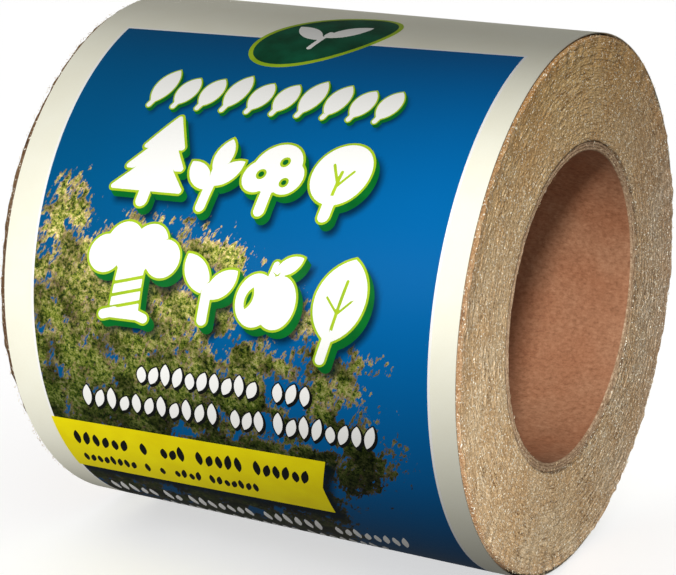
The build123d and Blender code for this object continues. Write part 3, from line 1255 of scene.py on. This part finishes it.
def pale_floor():
    """A wide pale floor under the roll, which throws no light or shadow on it."""
    size, low = 3.0, CAD_BOX[0].z
    mesh = bpy.data.meshes.new("floor")
    corners = [(-size, -size, low), (size, -size, low), (size, size, low), (-size, size, low)]
    mesh.from_pydata(corners, [], [(0, 1, 2, 3)])
    mesh.materials.append(material("floor", Roughness=0.8, Base_Color=(0.92, 0.92, 0.92, 1))[0])
    floor = bpy.data.objects.new("floor", mesh)
    bpy.context.scene.collection.objects.link(floor)
    floor.visible_diffuse = False
    floor.visible_glossy = False
    floor.visible_shadow = False
    floor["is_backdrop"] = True
    return floor


KEY_ENERGY = 3.12
FILL_ENERGY = 0.35
NEAR_ENERGY = 0.0138
STRIP_ENERGY = 0.088
STRIP_ANGLE = 19.0  # how far above the label's front line the strip lamp hangs
STRIP_TILT = 20.0  # how far its long side is turned from the roll's direction, in the lamp's own plane
STRIP_SWING = 13.0  # how far it is turned about its short side, which brings one end nearer to the label
CORNER_ENERGY = 0.021
SHOULDER_ENERGY = 0.0074
BACK_ENERGY = 2.4
INSIDE_ENERGY = 0.014
FLOOR_ENERGY = 1.1
EVEN_ENERGY = 2.2
WORLD_STRENGTH = 0.09
WORLD_SEEN = 0.97


def label_lamps(band):
    """A soft strip along the label, lamps for its left corners, and one for its inside when it is off."""
    up = math.radians(STRIP_ANGLE)
    toward = (0, -math.cos(up), math.sin(up))
    strip = hidden_lamp("strip", toward, STRIP_ENERGY, 0.105, band, shape="RECTANGLE", size=0.18, size_y=0.03)
    strip.rotation_euler.rotate_axis("Y", math.radians(STRIP_SWING))
    strip.rotation_euler.rotate_axis("Z", math.radians(STRIP_TILT))
    at = (-0.025, -0.034, -0.025)
    hidden_lamp("corner", (-0.3, -0.87, -0.35), CORNER_ENERGY, 0.07, band, at, shape="DISK", size=0.03)
    at = (-0.03, -0.02, 0.036)
    hidden_lamp("shoulder", (-0.25, -0.45, 0.86), SHOULDER_ENERGY, 0.05, band, at, shape="DISK", size=0.03)
    away, at = (0.07, -0.08, 0.065), (0.095, 0.03, -0.02)
    inside = hidden_lamp("inside", away, INSIDE_ENERGY, 0.125, band, at, shape="DISK", size=0.02)
    inside.data.spread = math.radians(60)


def studio():
    """Lamps for the roll, for the band and for the floor, and a pale world. Each lamp lights only its own."""
    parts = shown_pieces()
    band = [o for o in parts if body_of(o) == ["label_band"]]
    roll = [o for o in parts if body_of(o) == ["roll"]]
    floor = pale_floor()
    lit_only(lamp("key", "SUN", (0.33, -0.79, 0.51), KEY_ENERGY, angle=math.radians(7)), roll)
    lit_only(lamp("fill", "SUN", (0.7, -0.62, 0.3), FILL_ENERGY, angle=math.radians(40)), roll)
    near = hidden_lamp("near", (0.8, -0.6, -0.25), NEAR_ENERGY, 0.1, roll, shape="DISK", size=0.03)
    near.visible_glossy = True
    label_lamps(band)
    back = lamp("back", "SUN", (-0.4, 0.87, 0.2), BACK_ENERGY, angle=math.radians(20))
    back.visible_glossy = False
    lit_only(back, band + roll)
    lit_only(lamp("top", "SUN", (0.1, -0.1, 1.0), FLOOR_ENERGY, angle=math.radians(110)), [floor])
    even = lamp("even", "SUN", (0.0, 0.0, 1.0), EVEN_ENERGY)
    lit_only(even, [floor])
    even.light_linking.blocker_collection = group_of("even_blockers", [floor])
    world_light(WORLD_STRENGTH, WORLD_SEEN)
    bpy.context.scene.view_settings.view_transform = "Standard"


# Loose fibres: name, seed, number, end, inner and outer radius, slot, x of their roots, length, thickness
STRIP_FIBRES = [
    ("rim_fibres_front", 25, 1100, 1, 39.9, 40.95, "crepe_paper", 38.3, 0.7, 0.036),
    ("rim_fibres_back", 26, 1100, -1, 39.9, 40.95, "crepe_paper", 38.2, 0.7, 0.036),
    ("wrap_fibres_front", 21, 3200, 1, 25.5, 40.4, "crepe_paper", 38.0, 0.5, 0.042),
    ("wrap_fibres_back", 22, 2600, -1, 25.5, 40.4, "crepe_paper", 38.0, 0.5, 0.042),
]
CORE_FIBRES = [
    ("core_fibres_front", 23, 420, 1, 23.8, 25.1, "core_board", 37.8, 0.8, 0.03),
    ("core_fibres_back", 24, 260, -1, 23.8, 25.1, "core_board", 37.8, 0.8, 0.03),
]
PLY_NAMES = ("core_inner_ply", "core_middle_ply", "core_outer_ply")


def main():
    camera()
    core_materials = [core_bore_material(), core_edge_material()]
    tree_wrap(crepe_material())
    thread = fibre_material()
    for row in STRIP_FIBRES:
        fibres(*row, thread)
    for index, name in enumerate(PLY_NAMES):
        core_ply(name, index, core_materials)
    for row in CORE_FIBRES:
        fibres(*row, thread)
    printed_label([label_paper_material(), label_back_material()])
    label_print()
    for name, made in (
        ("tail_tab", tape_material()),
        ("start_glue", glue_material()),
        ("label_glue", glue_material()),
    ):
        mesh = frame["nodes"][name].data
        mesh.materials.clear()
        mesh.materials.append(made)
    studio()


main()
